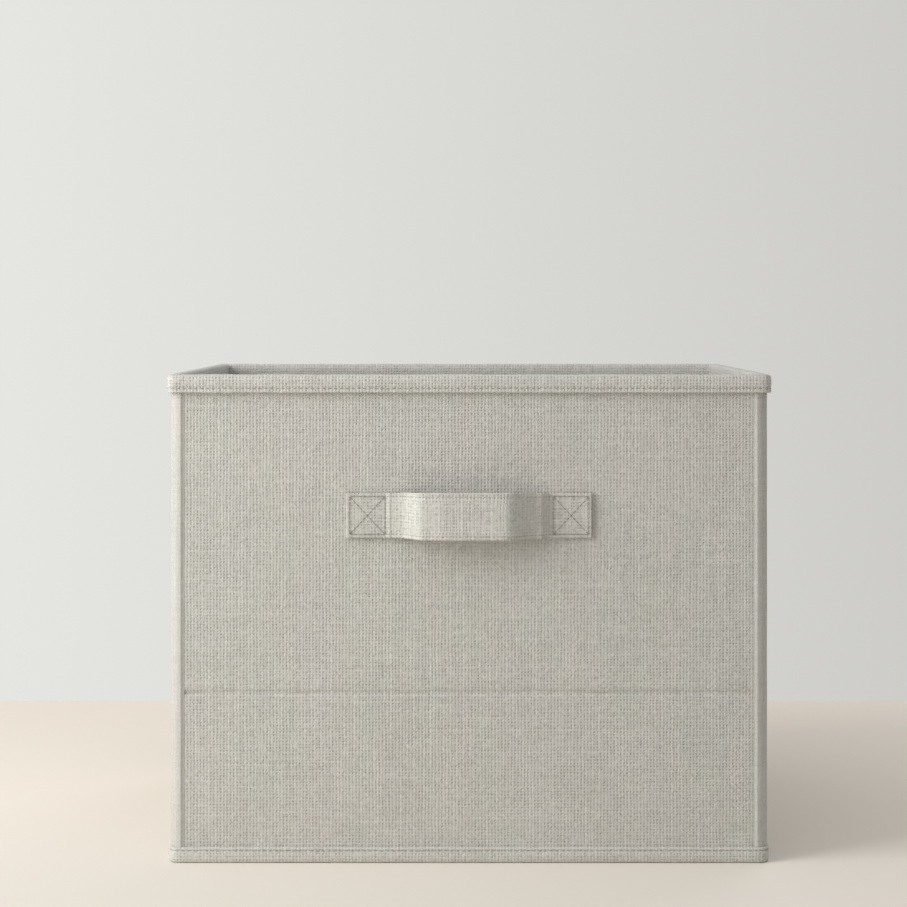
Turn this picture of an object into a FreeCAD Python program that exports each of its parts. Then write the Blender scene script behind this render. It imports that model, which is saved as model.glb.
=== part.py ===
import FreeCAD, Part
import math
import os
import Sketcher

# Open-topped fabric storage bin: cloth-covered board walls, bound edges, a lift-out
# base board and a carrying strap on the front and rear walls. Millimetres.
# Origin at the centre of the underside, +Z up, front wall towards -Y.

doc = FreeCAD.newDocument("FabricBin")
sheet = doc.addObject("Spreadsheet::Sheet", "Sizes")

SIZES = {
    # overall, over the corner bindings and from floor to rim
    "shell_width": 380.0,
    "shell_depth": 300.0,
    "shell_height": 310.0,
    # wall layers
    "cloth_thick": 1.2,
    "board_thick": 3.0,
    "lining_thick": 0.8,
    "board_end_gap": 3.0,
    # corner bindings
    "binding_proud": 0.8,
    "binding_leg": 6.2,
    "binding_round": 3.0,
    # rim binding
    "rim_proud": 2.2,
    "rim_drop": 11.8,
    "rim_cap": 1.6,
    "rim_inner_leg": 1.2,
    "rim_round": 6.0,
    "rim_edge_round": 1.2,
    "channel_round": 3.0,
    "mouth_round": 2.0,
    # base binding and bottom
    "base_proud": 0.9,
    "base_rise": 10.0,
    "base_under": 1.2,
    "base_leg": 10.0,
    "base_round": 4.5,
    # lift-out base board
    "insert_board": 3.0,
    "insert_cover": 0.8,
    "insert_turn_under": 15.0,
    "insert_side_gap": 2.0,
    "insert_under_gap": 0.2,
    # carrying straps
    "strap_width": 28.6,
    "strap_thick": 2.4,
    "strap_length": 155.8,
    "patch_length": 25.4,
    "grip_length": 60.0,
    "strap_standoff": 20.0,
    "strap_drop": 89.4,
}

SAME_PLACE = 0.001  # points closer than this count as one when edges are picked

for row, (alias, value) in enumerate(SIZES.items(), start=1):
    sheet.set(f"A{row}", alias)
    sheet.set(f"B{row}", str(value))
    sheet.setAlias(f"B{row}", alias)
doc.recompute()

# Distances from the middle of the bin to each layer of the walls, for the two half sizes.
HALF_WIDTH = "Sizes.shell_width / 2"
HALF_DEPTH = "Sizes.shell_depth / 2"
TO_CLOTH = "Sizes.binding_proud"
TO_BOARD = f"{TO_CLOTH} + Sizes.cloth_thick"
TO_LINING = f"{TO_BOARD} + Sizes.board_thick"
TO_INSIDE = f"{TO_LINING} + Sizes.lining_thick"
TO_MOUTH = f"{TO_INSIDE} + Sizes.rim_inner_leg"

# Heights that several pieces share.
WALL_FOOT = "Sizes.base_under"
WALL_HEIGHT = "Sizes.shell_height - Sizes.rim_cap - Sizes.base_under"
STRAP_HEIGHT = "Sizes.shell_height - Sizes.strap_drop"
INSERT_FOOT = "Sizes.base_under + Sizes.insert_under_gap"

subparts = []


def inset(half, layers):
    """Half size of a layer that lies the given distance inside the shell's face."""
    return f"{half} - ({layers})"


def place(shape_object, x, y, z):
    """Bind the three coordinates of an object's position."""
    for axis, expression in zip("xyz", (x, y, z)):
        shape_object.setExpression(f".Placement.Base.{axis}", expression)


def box(name, size, corner):
    """A rectangular block from its size and its lowest corner."""
    block = doc.addObject("Part::Box", name)
    for side, expression in zip(("Length", "Width", "Height"), size):
        block.setExpression(side, expression)
    place(block, *corner)
    return block


def finish(shape_object, label):
    """Label a sub-part and list it for export."""
    shape_object.Label = label
    subparts.append(shape_object)
    return shape_object


# ---- walls ---------------------------------------------------------------------------

def wall_pair(kind, depth, thick, end_x, end_y):
    """One layer of the four walls: front and rear, then left and right.

    depth is how far the layer's outer face lies inside the shell's face. end_x and end_y
    are how far the layer stops short of the shell's corner along X and along Y.
    """
    outer_x = inset(HALF_WIDTH, depth)
    outer_y = inset(HALF_DEPTH, depth)
    long_x = inset(HALF_WIDTH, end_x)
    long_y = inset(HALF_DEPTH, end_y)
    across = (f"2 * ({long_x})", thick, WALL_HEIGHT)
    along = (thick, f"2 * ({long_y})", WALL_HEIGHT)
    sides = {
        "front": (across, (f"-({long_x})", f"-({outer_y})", WALL_FOOT)),
        "rear": (across, (f"-({long_x})", f"{outer_y} - {thick}", WALL_FOOT)),
        "left": (along, (f"-({outer_x})", f"-({long_y})", WALL_FOOT)),
        "right": (along, (f"{outer_x} - {thick}", f"-({long_y})", WALL_FOOT)),
    }
    for side, (size, corner) in sides.items():
        label = f"{side}_{kind}"
        finish(box(label, size, corner), label)


BOARD_END = f"{TO_LINING} + Sizes.board_end_gap"
wall_pair("outer_cloth", TO_CLOTH, "Sizes.cloth_thick", "Sizes.binding_leg", "Sizes.binding_leg")
wall_pair("board", TO_BOARD, "Sizes.board_thick", BOARD_END, BOARD_END)
wall_pair("lining", TO_LINING, "Sizes.lining_thick", TO_LINING, TO_INSIDE)


# ---- sketches ------------------------------------------------------------------------

def new_body(name):
    return doc.addObject("PartDesign::Body", name)


def flat_sketch(body, name, lift=None):
    """A sketch on the body's own XY plane, raised by an expression when one is given."""
    sketch = body.newObject("Sketcher::SketchObject", name)
    plane = next(f for f in body.Origin.OriginFeatures if f.Role == "XY_Plane")
    sketch.AttachmentSupport = (plane, "")
    sketch.MapMode = "FlatFace"
    if lift:
        sketch.setExpression(".AttachmentOffset.Base.z", lift)
    return sketch


def dimension(sketch, constraint, expression):
    """Add a dimension and bind it to an expression."""
    index = sketch.addConstraint(constraint)
    sketch.setExpression(f"Constraints[{index}]", expression)


def rounded_rectangle(sketch, half_x, half_y, radius):
    """A rectangle centred on the origin, with one radius on its four corners."""
    rough_x, rough_y, rough_r = 150.0, 120.0, 3.0
    near_x = rough_x - rough_r
    near_y = rough_y - rough_r
    point = FreeCAD.Vector
    up = point(0, 0, 1)
    first = sketch.GeometryCount
    centres = ((near_x, -near_y), (near_x, near_y), (-near_x, near_y), (-near_x, -near_y))
    sides = (
        (point(-near_x, -rough_y), point(near_x, -rough_y)),
        (point(rough_x, -near_y), point(rough_x, near_y)),
        (point(near_x, rough_y), point(-near_x, rough_y)),
        (point(-rough_x, near_y), point(-rough_x, -near_y)),
    )
    quarter = math.pi / 2
    for i, ((start, end), centre) in enumerate(zip(sides, centres)):
        turn = (i - 1) * quarter
        ring = Part.Circle(point(*centre), up, rough_r)
        sketch.addGeometry(Part.LineSegment(start, end))
        sketch.addGeometry(Part.ArcOfCircle(ring, turn, turn + quarter))
    line = [first + 2 * i for i in range(4)]
    arc = [first + 2 * i + 1 for i in range(4)]
    for i in range(4):
        sketch.addConstraint(Sketcher.Constraint("Tangent", line[i], 2, arc[i], 1))
        sketch.addConstraint(Sketcher.Constraint("Tangent", arc[i], 2, line[(i + 1) % 4], 1))
    for i in (0, 2):
        sketch.addConstraint(Sketcher.Constraint("Horizontal", line[i]))
        sketch.addConstraint(Sketcher.Constraint("Vertical", line[i + 1]))
    for i in (1, 2, 3):
        sketch.addConstraint(Sketcher.Constraint("Equal", arc[0], arc[i]))
    sketch.addConstraint(Sketcher.Constraint("Symmetric", arc[0], 3, arc[2], 3, -1, 1))
    dimension(sketch, Sketcher.Constraint("Radius", arc[0], rough_r), radius)
    dimension(sketch, Sketcher.Constraint("DistanceX", line[3], 1, line[1], 1, 2 * rough_x),
              f"2 * ({half_x})")
    dimension(sketch, Sketcher.Constraint("DistanceY", line[0], 1, line[2], 1, 2 * rough_y),
              f"2 * ({half_y})")


def pad(body, sketch, length, centred=False):
    feature = body.newObject("PartDesign::Pad", f"{sketch.Name}_pad")
    feature.Profile = sketch
    feature.setExpression("Length", length)
    feature.Midplane = centred
    return feature


def pocket_up(body, sketch, depth=None):
    """A pocket that rises from its sketch: to the given depth, or right through."""
    feature = body.newObject("PartDesign::Pocket", f"{sketch.Name}_pocket")
    feature.Profile = sketch
    feature.Reversed = True
    if depth:
        feature.setExpression("Length", depth)
    else:
        feature.Type = 1
    return feature


def edges_where(feature, test):
    """Names of the feature's edges whose every vertex passes a test of its point."""
    doc.recompute()
    edges = feature.Shape.Edges
    return [f"Edge{n}" for n, edge in enumerate(edges, start=1)
            if all(test(vertex.Point) for vertex in edge.Vertexes)]


def fillet(body, base, edge_names, radius):
    feature = body.newObject("PartDesign::Fillet", f"{base.Name}_fillet")
    feature.Base = (base, edge_names)
    feature.setExpression("Radius", radius)
    return feature


# ---- bindings ------------------------------------------------------------------------

def add_rim_binding():
    """Tape folded over the top of the walls: a ring with a channel in its underside."""
    body = new_body("rim")
    outline = flat_sketch(body, "rim_outline")
    outer_x = f"{HALF_WIDTH} + Sizes.rim_proud"
    outer_y = f"{HALF_DEPTH} + Sizes.rim_proud"
    rounded_rectangle(outline, outer_x, outer_y, "Sizes.rim_round")
    ring = pad(body, outline, "Sizes.rim_drop")
    mouth = flat_sketch(body, "rim_mouth")
    rounded_rectangle(mouth, inset(HALF_WIDTH, TO_MOUTH), inset(HALF_DEPTH, TO_MOUTH),
                      "Sizes.mouth_round")
    ring = pocket_up(body, mouth)
    channel = flat_sketch(body, "rim_channel")
    rounded_rectangle(channel, inset(HALF_WIDTH, TO_CLOTH), inset(HALF_DEPTH, TO_CLOTH),
                      "Sizes.channel_round")
    rounded_rectangle(channel, inset(HALF_WIDTH, TO_INSIDE), inset(HALF_DEPTH, TO_INSIDE),
                      "Sizes.mouth_round")
    ring = pocket_up(body, channel, "Sizes.rim_drop - Sizes.rim_cap")
    top = sheet.rim_drop
    crest = edges_where(ring, lambda point: abs(point.z - top) < SAME_PLACE)
    fillet(body, ring, crest, "Sizes.rim_edge_round")
    place(body, "0", "0", "Sizes.shell_height - Sizes.rim_drop")
    finish(body, "rim_binding")


def add_base_binding():
    """Tape around the foot of the walls, turned under them by one leg."""
    body = new_body("base")
    outer_x = f"{HALF_WIDTH} + Sizes.base_proud"
    outer_y = f"{HALF_DEPTH} + Sizes.base_proud"
    outline = flat_sketch(body, "base_outline")
    rounded_rectangle(outline, outer_x, outer_y, "Sizes.base_round")
    pad(body, outline, "Sizes.base_rise")
    seat = flat_sketch(body, "base_seat", "Sizes.base_under")
    rounded_rectangle(seat, inset(HALF_WIDTH, TO_CLOTH), inset(HALF_DEPTH, TO_CLOTH),
                      "Sizes.channel_round")
    pocket_up(body, seat)
    window = flat_sketch(body, "base_window")
    rounded_rectangle(window, f"{outer_x} - Sizes.base_leg", f"{outer_y} - Sizes.base_leg",
                      "Sizes.mouth_round")
    pocket_up(body, window)
    place(body, "0", "0", "0")
    finish(body, "base_binding")


def add_bottom_cloth():
    """Bottom cloth inside the base binding, flush with its underside."""
    body = new_body("bottom")
    outline = flat_sketch(body, "bottom_outline")
    rounded_rectangle(outline, f"{HALF_WIDTH} + Sizes.base_proud - Sizes.base_leg",
                      f"{HALF_DEPTH} + Sizes.base_proud - Sizes.base_leg", "Sizes.mouth_round")
    pad(body, outline, "Sizes.base_under")
    finish(body, "bottom_cloth")


def add_corner_binding(label, sign_x, sign_y, turn):
    """Tape folded round one upright corner: an angle whose legs lie on two walls."""
    body = new_body(f"{label}_body")
    sketch = flat_sketch(body, f"{label}_section")
    leg = "Sizes.binding_leg"
    thick = TO_BOARD
    rough_leg = 6.2
    rough_thick = 2.0
    outline = ((0, 0), (0, -rough_leg), (-rough_thick, -rough_leg), (-rough_thick, -rough_thick),
               (-rough_leg, -rough_thick), (-rough_leg, 0))
    points = [FreeCAD.Vector(x, y) for x, y in outline]
    for i, start in enumerate(points):
        sketch.addGeometry(Part.LineSegment(start, points[(i + 1) % len(points)]))
    for i in range(len(points)):
        following = (i + 1) % len(points)
        sketch.addConstraint(Sketcher.Constraint("Coincident", i, 2, following, 1))
        kind = "Vertical" if i % 2 == 0 else "Horizontal"
        sketch.addConstraint(Sketcher.Constraint(kind, i))
    sketch.addConstraint(Sketcher.Constraint("Coincident", 0, 1, -1, 1))
    dimension(sketch, Sketcher.Constraint("DistanceY", 0, 2, 0, 1, rough_leg), leg)
    dimension(sketch, Sketcher.Constraint("DistanceX", 5, 1, 5, 2, rough_leg), leg)
    dimension(sketch, Sketcher.Constraint("DistanceX", 1, 2, 1, 1, rough_thick), thick)
    dimension(sketch, Sketcher.Constraint("DistanceY", 4, 1, 4, 2, rough_thick), thick)
    angle = pad(body, sketch, "Sizes.shell_height - Sizes.rim_drop - Sizes.base_rise")
    fold = edges_where(angle, lambda point: abs(point.x) < SAME_PLACE and abs(point.y) < SAME_PLACE)
    fillet(body, angle, fold, "Sizes.binding_round")
    body.Placement.Rotation = FreeCAD.Rotation(FreeCAD.Vector(0, 0, 1), turn)
    place(body, f"{sign_x} * {HALF_WIDTH}", f"{sign_y} * {HALF_DEPTH}", "Sizes.base_rise")
    finish(body, label)


add_rim_binding()
add_base_binding()
add_bottom_cloth()
for corner, sign_x, sign_y, turn in (
    ("rear_right", 1, 1, 0),
    ("rear_left", -1, 1, 90),
    ("front_left", -1, -1, 180),
    ("front_right", 1, -1, 270),
):
    add_corner_binding(f"corner_binding_{corner}", sign_x, sign_y, turn)


# ---- lift-out base board -------------------------------------------------------------

def add_insert():
    """A stiff board with cloth wrapped over its top and turned under its edges."""
    room_x = inset(HALF_WIDTH, f"{TO_INSIDE} + Sizes.insert_side_gap")
    room_y = inset(HALF_DEPTH, f"{TO_INSIDE} + Sizes.insert_side_gap")
    core_x = f"{room_x} - Sizes.insert_cover"
    core_y = f"{room_y} - Sizes.insert_cover"
    core_foot = f"{INSERT_FOOT} + Sizes.insert_cover"
    core_size = (f"2 * ({core_x})", f"2 * ({core_y})", "Sizes.insert_board")
    core_corner = (f"-({core_x})", f"-({core_y})", core_foot)
    wrap = box("insert_wrap", (f"2 * ({room_x})", f"2 * ({room_y})",
                               "Sizes.insert_board + 2 * Sizes.insert_cover"),
               (f"-({room_x})", f"-({room_y})", INSERT_FOOT))
    pocket = box("insert_pocket", core_size, core_corner)
    open_x = f"{core_x} - Sizes.insert_turn_under"
    open_y = f"{core_y} - Sizes.insert_turn_under"
    window = box("insert_window", (f"2 * ({open_x})", f"2 * ({open_y})",
                                   "Sizes.insert_cover + Sizes.insert_board / 2"),
                 (f"-({open_x})", f"-({open_y})", INSERT_FOOT))
    hollow = doc.addObject("Part::Fuse", "insert_hollow")
    hollow.Base = pocket
    hollow.Tool = window
    cover = doc.addObject("Part::Cut", "insert_cover")
    cover.Base = wrap
    cover.Tool = hollow
    finish(cover, "base_board_cover")
    finish(box("insert_core", core_size, core_corner), "base_board")


add_insert()


# ---- carrying straps -----------------------------------------------------------------

PATCH_END = "Sizes.strap_length / 2"
PATCH_START = f"{PATCH_END} - Sizes.patch_length"
GRIP_END = "Sizes.grip_length / 2"
WALL_FACE = inset(HALF_DEPTH, TO_CLOTH)


def strap_lead(name):
    """The run of strap from a sewn patch out to the grip, drawn in plan."""
    body = new_body(name)
    sketch = flat_sketch(body, f"{name}_plan")
    thick = "Sizes.strap_thick"
    standoff = "Sizes.strap_standoff"
    rough_start, rough_end = 52.0, 30.0
    rough_thick, rough_out = 2.4, 20.0
    plan = ((rough_start, 0), (rough_start, rough_thick),
            (rough_end, rough_out), (rough_end, rough_out - rough_thick))
    points = [FreeCAD.Vector(x, y) for x, y in plan]
    for i, start in enumerate(points):
        sketch.addGeometry(Part.LineSegment(start, points[(i + 1) % len(points)]))
    for i in range(len(points)):
        sketch.addConstraint(Sketcher.Constraint("Coincident", i, 2, (i + 1) % len(points), 1))
    for i in (0, 2):
        sketch.addConstraint(Sketcher.Constraint("Vertical", i))
    sketch.addConstraint(Sketcher.Constraint("PointOnObject", 0, 1, -1))
    dimension(sketch, Sketcher.Constraint("DistanceX", -1, 1, 0, 1, rough_start), PATCH_START)
    dimension(sketch, Sketcher.Constraint("DistanceX", -1, 1, 2, 1, rough_end), GRIP_END)
    dimension(sketch, Sketcher.Constraint("DistanceY", 0, 1, 0, 2, rough_thick), thick)
    dimension(sketch, Sketcher.Constraint("DistanceY", 2, 2, 2, 1, rough_thick), thick)
    dimension(sketch, Sketcher.Constraint("DistanceY", -1, 1, 2, 1, rough_out), standoff)
    pad(body, sketch, "Sizes.strap_width", centred=True)
    return body


def add_handle(wall, sign_y):
    """One strap: two patches sewn flat to the wall, two leads and the grip between them."""
    strap_foot = f"{STRAP_HEIGHT} - Sizes.strap_width / 2"
    thick = "Sizes.strap_thick"
    if sign_y > 0:
        patch_y = WALL_FACE
        grip_y = f"{WALL_FACE} + Sizes.strap_standoff - {thick}"
    else:
        patch_y = f"-({WALL_FACE}) - {thick}"
        grip_y = f"-({WALL_FACE}) - Sizes.strap_standoff"
    patch_size = ("Sizes.patch_length", thick, "Sizes.strap_width")
    patch_x = {"left": f"-({PATCH_END})", "right": PATCH_START}
    for side, sign_x in (("left", -1), ("right", 1)):
        label = f"{wall}_handle_patch_{side}"
        finish(box(label, patch_size, (patch_x[side], patch_y, strap_foot)), label)
        label = f"{wall}_handle_lead_{side}"
        lead = strap_lead(f"{label}_body")
        spin = FreeCAD.Rotation(FreeCAD.Vector(0, 0, 1), 0 if sign_y > 0 else 180)
        flip = FreeCAD.Rotation(FreeCAD.Vector(0, 1, 0), 0 if sign_x == sign_y else 180)
        lead.Placement.Rotation = spin.multiply(flip)
        place(lead, "0", f"{sign_y} * ({WALL_FACE})", STRAP_HEIGHT)
        finish(lead, label)
    label = f"{wall}_handle_grip"
    finish(box(label, ("Sizes.grip_length", thick, "Sizes.strap_width"),
               (f"-({GRIP_END})", grip_y, strap_foot)), label)


add_handle("front", -1)
add_handle("rear", 1)


# ---- check and export ----------------------------------------------------------------

doc.recompute()

for item in doc.Objects:
    if "Invalid" in item.State or "Error" in item.State:
        raise RuntimeError(f"{item.Name} failed: {item.State}")
for item in subparts:
    if item.Shape.isNull() or not item.Shape.isValid() or len(item.Shape.Solids) != 1:
        raise RuntimeError(f"{item.Label} is not one valid solid")

os.makedirs("parts", exist_ok=True)
for item in subparts:
    item.Shape.exportStep(os.path.join("parts", f"{item.Label}.step"))
    print(f"{item.Label}: {item.Shape.Volume / 1000:.1f} cm3")
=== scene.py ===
import bisect
import math
import random

import bmesh
import bpy
from mathutils import Matrix, Vector, noise


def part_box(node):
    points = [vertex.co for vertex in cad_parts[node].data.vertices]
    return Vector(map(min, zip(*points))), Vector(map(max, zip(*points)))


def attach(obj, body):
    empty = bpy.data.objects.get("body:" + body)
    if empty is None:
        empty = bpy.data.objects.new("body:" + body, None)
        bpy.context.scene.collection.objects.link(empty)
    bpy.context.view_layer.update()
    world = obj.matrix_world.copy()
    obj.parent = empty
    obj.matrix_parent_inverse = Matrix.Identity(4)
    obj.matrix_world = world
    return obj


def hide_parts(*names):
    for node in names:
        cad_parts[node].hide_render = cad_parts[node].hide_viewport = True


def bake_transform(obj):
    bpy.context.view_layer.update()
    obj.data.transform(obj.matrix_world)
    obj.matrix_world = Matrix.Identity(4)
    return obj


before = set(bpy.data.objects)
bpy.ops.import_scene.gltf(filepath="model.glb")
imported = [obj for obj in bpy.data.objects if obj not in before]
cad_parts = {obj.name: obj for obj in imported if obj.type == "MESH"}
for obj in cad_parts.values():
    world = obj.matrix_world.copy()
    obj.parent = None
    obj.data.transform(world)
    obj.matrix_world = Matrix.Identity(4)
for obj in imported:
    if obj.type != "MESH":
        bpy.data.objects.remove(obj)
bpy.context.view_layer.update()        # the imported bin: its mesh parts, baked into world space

mm = 0.001
shell, insertBody = "bin_shell", "base_insert"
zAxis = Vector((0, 0, 1))

# what the CAD says about the walls
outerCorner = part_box("corner_binding_rear_right")[1]
halfX, halfY = outerCorner[0], outerCorner[1]
rimLow, rimHigh = (Vector(v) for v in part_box("rim_binding"))
baseHigh = Vector(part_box("base_binding")[1])

# outward direction of each wall, and the way its width runs
walls = {
    "front": (Vector((0, -1, 0)), Vector((1, 0, 0))),
    "rear": (Vector((0, 1, 0)), Vector((-1, 0, 0))),
    "left": (Vector((-1, 0, 0)), Vector((0, -1, 0))),
    "right": (Vector((1, 0, 0)), Vector((0, 1, 0))),
}


def smoothStep(low, high, x):
    t = min(max((x - low) / (high - low), 0), 1)
    return t * t * (3 - 2 * t)


def boxUv(bm):
    # cloth lies flat on each face: uv in metres, picked by the way the face looks
    layer = bm.loops.layers.uv.verify()
    bm.normal_update()
    for face in bm.faces:
        n = face.normal
        size = (abs(n.x), abs(n.y), abs(n.z))
        flat = size.index(max(size))
        a, b = ((1, 2), (0, 2), (0, 1))[flat]
        for loop in face.loops:
            loop[layer].uv = (loop.vert.co[a], loop.vert.co[b])


def toPiece(name, bm, material, smoothAngle=50):
    mesh = bpy.data.meshes.new(name)
    bm.to_mesh(mesh)
    bm.free()
    piece = bpy.data.objects.new(name, mesh)
    bpy.context.scene.collection.objects.link(piece)
    mesh.materials.append(material)
    mesh.shade_smooth()
    mesh.set_sharp_from_angle(angle=math.radians(smoothAngle))
    return piece


def place(piece, body, nodes=()):
    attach(piece, body)
    if nodes:
        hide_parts(*nodes)
    return piece


def wallMatrix(side):
    outward, along = walls[side]
    turn = Matrix((along, zAxis, outward)).transposed()
    return turn.to_4x4()


def feed(tree, node, index, value):
    if isinstance(value, (int, float)):
        node.inputs[index].default_value = value
    else:
        tree.links.new(value, node.inputs[index])


def calc(tree, operation, a, b=None):
    node = tree.nodes.new("ShaderNodeMath")
    node.operation = operation
    feed(tree, node, 0, a)
    if b is not None:
        feed(tree, node, 1, b)
    return node.outputs[0]


def combine(tree, x, y, z=0.0):
    node = tree.nodes.new("ShaderNodeCombineXYZ")
    for index, value in enumerate((x, y, z)):
        feed(tree, node, index, value)
    return node.outputs[0]


def cloud(tree, vector, scale, detail=2.0, rough=0.5):
    node = tree.nodes.new("ShaderNodeTexNoise")
    node.inputs["Scale"].default_value = scale
    node.inputs["Detail"].default_value = detail
    node.inputs["Roughness"].default_value = rough
    tree.links.new(vector, node.inputs["Vector"])
    return node.outputs["Fac"]


def ramp(tree, factor, stops):
    node = tree.nodes.new("ShaderNodeValToRGB")
    elements = node.color_ramp.elements
    while len(elements) < len(stops):
        elements.new(0.5)
    for element, (position, colour) in zip(elements, stops):
        element.position = position
        element.color = (*colour, 1)
    tree.links.new(factor, node.inputs[0])
    return node.outputs[0]


def blendColours(tree, kind, factor, a, b):
    node = tree.nodes.new("ShaderNodeMix")
    node.data_type = "RGBA"
    node.blend_type = kind
    for socket, value in ((node.inputs[0], factor), (node.inputs[6], a), (node.inputs[7], b)):
        if isinstance(value, bpy.types.NodeSocket):
            tree.links.new(value, socket)
        else:
            socket.default_value = value
    return node.outputs[2]


def newMaterial(name, roughness, sheen):
    material = bpy.data.materials.new(name)
    material.use_nodes = True
    tree = material.node_tree
    shader = tree.nodes["Principled BSDF"]
    shader.inputs["Roughness"].default_value = roughness
    shader.inputs["Sheen Weight"].default_value = sheen
    shader.inputs["Specular IOR Level"].default_value = 0.2
    return material, tree, shader


def bumpFrom(tree, shader, height, distance, strength=1.0):
    bump = tree.nodes.new("ShaderNodeBump")
    bump.inputs["Distance"].default_value = distance
    bump.inputs["Strength"].default_value = strength
    tree.links.new(height, bump.inputs["Height"])
    tree.links.new(bump.outputs[0], shader.inputs["Normal"])


linen = {
    "warpPitch": 2.1 * mm,       # upright threads
    "weftPitch": 2.0 * mm,       # level threads
    "wander": 0.6,               # how far a thread strays, in threads
    "jitter": 0.4,               # and how unevenly it sits from one crossing to the next
    "threadHeight": 0.4 * mm,
    "pale": (0.578, 0.564, 0.520),
    "deep": (0.446, 0.434, 0.396),
    "middle": (0.512, 0.500, 0.460),
    "warm": (0.522, 0.496, 0.466),
    "cool": (0.496, 0.504, 0.460),
    # painted shade: the colour that the pits between threads are darkened towards
    "paintedPitShade": (0.56, 0.55, 0.53),   # in the pits between threads
    "pitShare": 0.62,            # how deep those pits are
    "plainShare": 0.5,           # 0 shows each thread's tone, 1 only the broad drifts
}


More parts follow.
